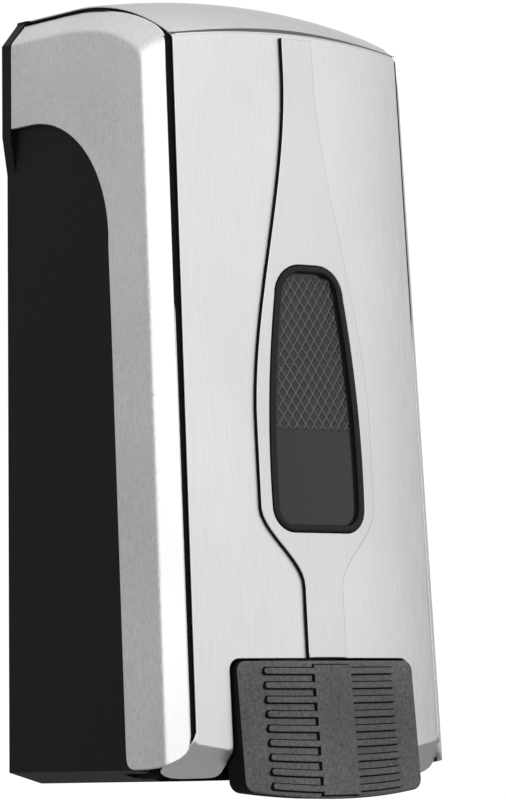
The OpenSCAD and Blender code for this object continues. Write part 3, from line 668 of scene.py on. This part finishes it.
def side_at(y, z):
    """Right-hand side: flat, with a corner strip that falls away to the panel's seam."""
    a = from_path(FLAT, y, z)
    if a <= -SIDE_SOFT:
        return (side_x(z), y, z)
    soft = a if a > SIDE_SOFT else (a + SIDE_SOFT) ** 2 / (4 * SIDE_SOFT)
    b = max(0.0, -from_path(OUTER, y, z))
    if a > 0:
        return (side_x(z) - STRIP_DROP * soft / (a + b), y, z)
    return (side_x(z) - STRIP_DROP * soft / max(STRIP_Y, b), y, z)


def side_wall(u, v, inward, n):
    if abs(n[0]) > 0.93:
        return -n * SHEET
    w = unit([0.0, inward[1], inward[2]])
    return w * RETURN_D


def side_loop():
    """Outline of the side in (y, z): round the front, over the top arc, down the rear and the notch."""
    out = [tuple(p) for p in OUTER if p[1] > 9.0 and p[0] < REAR]
    path = [(-93.4, 1.4), (-95, 2.2), (-97.0, 3.6), (-98.3, 5.2), (-99.05, 7.2)] + out
    path += [(REAR, ARC_TOP), (REAR, 256.5), (REAR, 240), (REAR, NOTCH_Z + NOTCH_R)]
    for k in range(41):
        a = math.radians(90 + (90 + 2.75) * k / 40)
        path.append((NOTCH_Y + NOTCH_R * math.cos(a), NOTCH_Z + NOTCH_R * math.sin(a)))
    path += [(-NOTCH_FRONT + LEAN * z, z) for z in (150, 110, 70, 40, 20, 6)]
    path += [(-71.6, 3.4), (-72.3, 1.6), (-73.8, 0.5), (-75.6, 0.2)]
    path += [(-82, 0.25), (-87, 0.6), (-91, 1.0)]
    return resample(path[::-1] if area(path) < 0 else path, 2.2)


def area(loop):
    p = np.array(loop)
    q = np.roll(p, -1, 0)
    return float((p[:, 0] * q[:, 1] - q[:, 0] * p[:, 1]).sum()) / 2


def beside(path, offsets, step):
    """Points beside a path at the given distances, to hold a crease sharp."""
    out = []
    pts = resample(list(path), step)
    for a, b in zip(pts[:-1], pts[1:]):
        t = unit(b - a)
        if np.linalg.norm(b - a) > step * 1.5:
            continue
        n = np.array([-t[1], t[0]])
        out += [tuple((a + b) / 2 + n * d) for d in offsets]
    return out


side_crease = beside(flat_edge, [SIDE_SOFT * f for f in (-1.15, -0.5, 0, 0.5, 1.15)], 2.0)
loop = side_loop()
side_r = plate("side_frame_right_skin", [loop], side_at, SHEET, edge=0.35, step=3.0,
               extra=side_crease, wall=side_wall, back=False)
ready(side_r, "cover", "side_frame_right", MAT["side"], "side_frame_right")
side_l = plate("side_frame_left_skin", [np.array([(-y, z) for y, z in loop[::-1]])],
               lambda u, v: tuple(c * m for c, m in zip(side_at(-u, v), (-1, 1, 1))), SHEET,
               edge=0.35, step=3.0, extra=[(-y, z) for y, z in side_crease], wall=side_wall, back=False)
ready(side_l, "cover", "side_frame_left", MAT["side"], "side_frame_left")


# ---------------------------------------------------------------- window rim and lens
def rim_at(x, z):
    return (x, front_y(x, z) - SPINE_H - 0.45, z)


rim = plate("window_rim", [window_loop(0.05), window_loop(RIM, True)], rim_at, 4.6, edge=0.8,
            step=1.2, rows=5)
ready(rim, "cover", "window_frame", MAT["rim"], "window_frame")

CELL_X, CELL_Z, CELL_TOP, CELL_H, CELL_EDGE = 3.7, 5.3, 114.4, 0.3, 1.0


def lens_at(x, z):
    """Diamond pyramids above the line, smooth below it."""
    y = front_y(x, z) - 0.1
    beside_rim = WIN_W - RIM - WIN_FALL * (z - WIN_Z) ** 2 - abs(x)
    f = (ease((z - CELL_TOP) / 0.8) * ease((beside_rim - CELL_EDGE) / 0.6)
         * ease((WIN_HIGH - RIM - CELL_EDGE - z) / 0.6))
    if f > 0:
        a, b = x / CELL_X + z / CELL_Z, x / CELL_X - z / CELL_Z
        ra, rb = abs(a - round(a)) * 2, abs(b - round(b)) * 2
        y -= CELL_H * f * (1 - min(1.0, min(ra, rb) * 2.2))
    return (x, y, z)


lens = plate("window_lens_skin", [window_loop(RIM + 0.02)], lens_at, 1.5, edge=0.1, step=0.45, rows=1)
ready(lens, "cover", "window_lens", MAT["lens"], "window_lens")


def net(mat, ridge_highlight, soft=0.10):
    """Paints a pale highlight along the ridges between the diamond cells over a material, above the smooth
    part.
    """
    t = mat.node_tree
    b = t.nodes["Principled BSDF"]
    old = b.inputs["Base Color"].links[0].from_socket

    def sums(kind, a, c, clamp=False):
        n = t.nodes.new("ShaderNodeMath")
        n.operation, n.use_clamp = kind, clamp
        for socket, value in zip(n.inputs, (a, c)):
            if isinstance(value, float):
                socket.default_value = value
            else:
                t.links.new(value, socket)
        return n.outputs["Value"]

    place = t.nodes.new("ShaderNodeTexCoord")
    split = t.nodes.new("ShaderNodeSeparateXYZ")
    t.links.new(place.outputs["Object"], split.inputs["Vector"])
    across = sums("MULTIPLY", split.outputs["X"], 1000 / CELL_X)
    along = sums("MULTIPLY", sums("ADD", split.outputs["Z"], MOUNT_H / 1000), 1000 / CELL_Z)
    near = sums("MINIMUM", sums("PINGPONG", sums("ADD", across, along), 0.5),
                sums("PINGPONG", sums("SUBTRACT", across, along), 0.5))
    line = sums("SUBTRACT", 1.0, sums("DIVIDE", near, soft), clamp=True)
    above = sums("MULTIPLY", sums("SUBTRACT", split.outputs["Z"], (CELL_TOP - MOUNT_H) / 1000),
                 1000.0, clamp=True)
    tall = sums("MULTIPLY", sums("SUBTRACT", split.outputs["Z"], (WIN_Z - MOUNT_H) / 1000), 1000.0)
    half = sums("SUBTRACT", WIN_W - RIM - CELL_EDGE, sums("MULTIPLY", sums("MULTIPLY", tall, tall), WIN_FALL))
    wide = sums("MULTIPLY", sums("ABSOLUTE", split.outputs["X"], 0.0), 1000.0)
    within = sums("SUBTRACT", half, wide, clamp=True)
    below = sums("SUBTRACT", WIN_HIGH - RIM - CELL_EDGE - WIN_Z, tall, clamp=True)
    above = sums("MULTIPLY", above, sums("MULTIPLY", within, below))
    mix = t.nodes.new("ShaderNodeMix")
    mix.data_type = "RGBA"
    mix.inputs[7].default_value = ridge_highlight
    t.links.new(sums("MULTIPLY", line, above), mix.inputs[0])
    t.links.new(old, mix.inputs[6])
    t.links.new(mix.outputs[2], b.inputs["Base Color"])


# pale lines on the cell ridges: painted highlight
net(MAT["lens"], (0.15, 0.15, 0.155, 1))

# ---------------------------------------------------------------- push bar
BAR_PROUD, BAR_LEAN_DEG = 2.6, 5.55
BAR_FRONT = PANEL_FRONT - LEAN * BAR_TOP + BAR_PROUD
RIBS, RIB_H, RIB_OUT, RIB_TOP, RIB_PITCH, RIB_W = 9, 0.8, 28.4, 32.5, 4.82, 2.1
BAND_HALF = 8.0


def bar_at(x, z, out=0.0):
    return (x, -BAR_FRONT - math.tan(math.radians(BAR_LEAN_DEG)) * (BAR_TOP - z) + bow(x) - out, z)


def bar_loop(d):
    w, sag_r = BAR_W - d, (BAR_W ** 2 + BAR_SAG ** 2) / (2 * BAR_SAG)

    def low(x):
        return -BAR_DROP + d + sag_r - math.sqrt(sag_r ** 2 - x ** 2)

    corners = [(x, low(x), 0) for x in np.linspace(-w + 5, w - 5, 17)]
    corners = [(-w, low(w), 4.0)] + corners + [(w, low(w), 4.0)]
    corners += [(w, BAR_TOP - d, 3.5), (-w, BAR_TOP - d, 3.5)]
    return resample(rounded_poly(corners, 7), 2.5)


def bar_wall(u, v, inward, n):
    return np.array([0.0, 9.0 if v < 30 else 6.0, 0.0])


# the bar's walls and the first two rows of its rounded edge take the black side material; on the rounded edge
# it is painted shade
bar = plate("push_bar_face", [bar_loop(0)], bar_at, 2.0, edge=1.0, step=4.0, wall=bar_wall, rows=5,
            dark=2)
ready(bar, "lever", "push_bar", MAT["bar"], "push_bar", wall=MAT["bar_side_and_shade"])


def rib_line(i, x, low):
    """Upper or lower line of rib i: straight at the top, bending with the lower edge below."""
    sag = 0.3 + (BAR_SAG - 0.6) * (i / (RIBS - 1)) ** 2
    z = RIB_TOP - RIB_PITCH * i + RIB_W / 2 - sag * (RIB_OUT / BAR_W) ** 2 + sag * (x / BAR_W) ** 2
    return z - (RIB_W if low else 0.0)


def comb_loop():
    """The raised centre band with its ribs, as one outline."""
    right = [(BAND_HALF, rib_line(RIBS - 1, 0, True) - 1.0)]
    for i in range(RIBS - 1, -1, -1):
        xs = np.linspace(BAND_HALF, RIB_OUT - RIB_W / 2, 7)
        right += [(x, rib_line(i, x, True)) for x in xs]
        zc = rib_line(i, xs[-1], True) + RIB_W / 2
        for k in range(1, 8):
            a = -math.pi / 2 + math.pi * k / 8
            right.append((xs[-1] + RIB_W / 2 * math.cos(a), zc + RIB_W / 2 * math.sin(a)))
        right += [(x, rib_line(i, x, False)) for x in xs[::-1]]
    right += [(BAND_HALF, BAR_TOP - 1.6)]
    loop = right + [(-x, z) for x, z in right[::-1]]
    return resample(loop, 2.5)


# the ribs' walls and the first row of their rounded edge take the same black: painted shade on the edge row
ribs = plate("push_bar_ribs", [comb_loop()], lambda x, z: bar_at(x, z, RIB_H), 1.2, edge=0.3,
             step=2.5, wall=lambda u, v, i, n: np.array([0.0, 1.4, 0.0]), rows=3, back=False, dark=1)
ready(ribs, "lever", "push_bar", MAT["bar"], "push_bar", wall=MAT["bar_side_and_shade"])

# black sheets round the ribs, set a little down and left of them: painted shadow, which shows as dark lines
# below, above and left of the ribs
for title, shift_by, proud in (("below", (-0.8, -0.5), 0.16), ("above", (-0.4, 0.3), 0.12)):
    rib_shadow = plate("push_bar_rib_painted_shadow_" + title, [comb_loop() + np.array(shift_by)],
                   lambda x, z: bar_at(x, z, proud), 0.5, edge=0.05, step=2.5, rows=1, back=False)
    ready(rib_shadow, "lever", "push_bar", MAT["bar_side_and_shade"], "push_bar")

# ---------------------------------------------------------------- everything else from the CAD
LOOKS = {
    "back_housing": "housing",
    "cover_frame": "housing", "frame_screws": "steel", "push_bar_pin": "steel",
    "push_bar_spring": "steel", "hinge_pins": "steel", "lock_barrel": "steel", "lock_plug": "brass",
    "lock_nut": "steel", "lock_cam": "steel", "latch_keeper": "steel", "keeper_screws": "steel",
    "reservoir": "natural", "reservoir_lid": "housing", "lid_seal": "rubber", "pump_body": "natural",
    "pump_cap": "housing", "pump_piston": "housing", "piston_ring": "rubber", "pump_spring": "steel",
    "inlet_ball": "steel", "outlet_ball": "steel", "nozzle": "housing", "nozzle_ring": "rubber",
}
for node, look in LOOKS.items():
    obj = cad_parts[node]
    for i in range(len(obj.material_slots)):
        obj.material_slots[i].material = MAT[look]

# ---------------------------------------------------------------- floor, light and camera
floor = bpy.data.objects.new("floor", bpy.data.meshes.new("floor"))
floor.data.from_pydata([(-6, -6, -1.2), (6, -6, -1.2), (6, 6, -1.2), (-6, 6, -1.2)], [], [[0, 1, 2, 3]])
bpy.context.scene.collection.objects.link(floor)
wear(floor, material("floor_pale", (0.36, 0.36, 0.36), 0.8))

world = bpy.data.worlds.new("studio")
world.use_nodes = True
sky = world.node_tree
where = sky.nodes.new("ShaderNodeTexCoord")
height = sky.nodes.new("ShaderNodeSeparateXYZ")
ramp = sky.nodes.new("ShaderNodeValToRGB")
shift = sky.nodes.new("ShaderNodeMapRange")
shift.inputs["From Min"].default_value, shift.inputs["From Max"].default_value = -1.0, 1.0
sky.links.new(where.outputs["Generated"], height.inputs["Vector"])
sky.links.new(height.outputs["Z"], shift.inputs["Value"])
sky.links.new(shift.outputs["Result"], ramp.inputs["Fac"])
sky.links.new(ramp.outputs["Color"], sky.nodes["Background"].inputs["Color"])
steps = ramp.color_ramp.elements
steps[0].position, steps[0].color = 0.40, (0.2, 0.2, 0.2, 1)
steps[1].position, steps[1].color = 1.0, (0.75, 0.75, 0.75, 1)
middle = steps.new(0.60)
middle.color = (0.46, 0.46, 0.46, 1)
bpy.context.scene.world = world


def lamp(name, where, aim, size, power):
    light = bpy.data.lights.new(name, "AREA")
    light.shape = "RECTANGLE"
    light.size, light.size_y = size
    light.energy = power
    obj = bpy.data.objects.new(name, light)
    obj.location = where
    obj.rotation_mode = "QUATERNION"
    obj.rotation_quaternion = (Vector(aim) - Vector(where)).to_track_quat("-Z", "Y")
    bpy.context.scene.collection.objects.link(obj)
    return obj


lamp("key", (-1.53, -1.29, 0.3), (0, -0.08, 0), (1.6, 2.4), 11.5)
lamp("front", (0.78, -1.88, 0.3), (0, -0.08, 0), (2.9, 2.4), 10.4)
lamp("top", (0.3, -0.3, 1.9), (0, -0.05, 0.1), (1.4, 1.4), 2.2)

card = bpy.data.materials.new("backdrop_white")
card.use_nodes = True
shine = card.node_tree.nodes.new("ShaderNodeEmission")
shine.inputs["Color"].default_value = (1, 1, 1, 1)
shine.inputs["Strength"].default_value = 1.05
card.node_tree.links.new(shine.outputs["Emission"], card.node_tree.nodes["Material Output"].inputs["Surface"])

AZ, EL, ROLL, DIST = math.radians(-38.27), math.radians(-4.70), math.radians(-1.156), 1.5585
AIM = Vector((0.0137, -0.050, 0.1295 - MOUNT_H / 1000))
back = Vector((math.sin(AZ) * math.cos(EL), -math.cos(AZ) * math.cos(EL), math.sin(EL)))
right = (-back).cross(Vector((0, 0, 1))).normalized()
up = right.cross(-back)
right, up = (right * math.cos(ROLL) + up * math.sin(ROLL),
             up * math.cos(ROLL) - right * math.sin(ROLL))
behind = AIM - back * 1.6
backdrop = bpy.data.objects.new("backdrop", bpy.data.meshes.new("backdrop"))
backdrop.data.from_pydata([tuple(behind + right * a * 0.55 + up * b * 0.55) for a, b in
                           ((-1, -1), (1, -1), (1, 1), (-1, 1))], [], [[0, 1, 2, 3]])
bpy.context.scene.collection.objects.link(backdrop)
wear(backdrop, card)
camera = bpy.data.objects.new("camera", bpy.data.cameras.new("camera"))
camera.data.sensor_width = 36
camera.data.lens = 4411.5 * 36 / 800
camera.data.clip_start, camera.data.clip_end = 0.1, 30
camera.matrix_world = Matrix((
    (right.x, up.x, back.x, AIM.x + back.x * DIST),
    (right.y, up.y, back.y, AIM.y + back.y * DIST),
    (right.z, up.z, back.z, AIM.z + back.z * DIST),
    (0, 0, 0, 1)))
bpy.context.scene.collection.objects.link(camera)
bpy.context.scene.camera = camera
bpy.context.scene.view_settings.view_transform = "Standard"
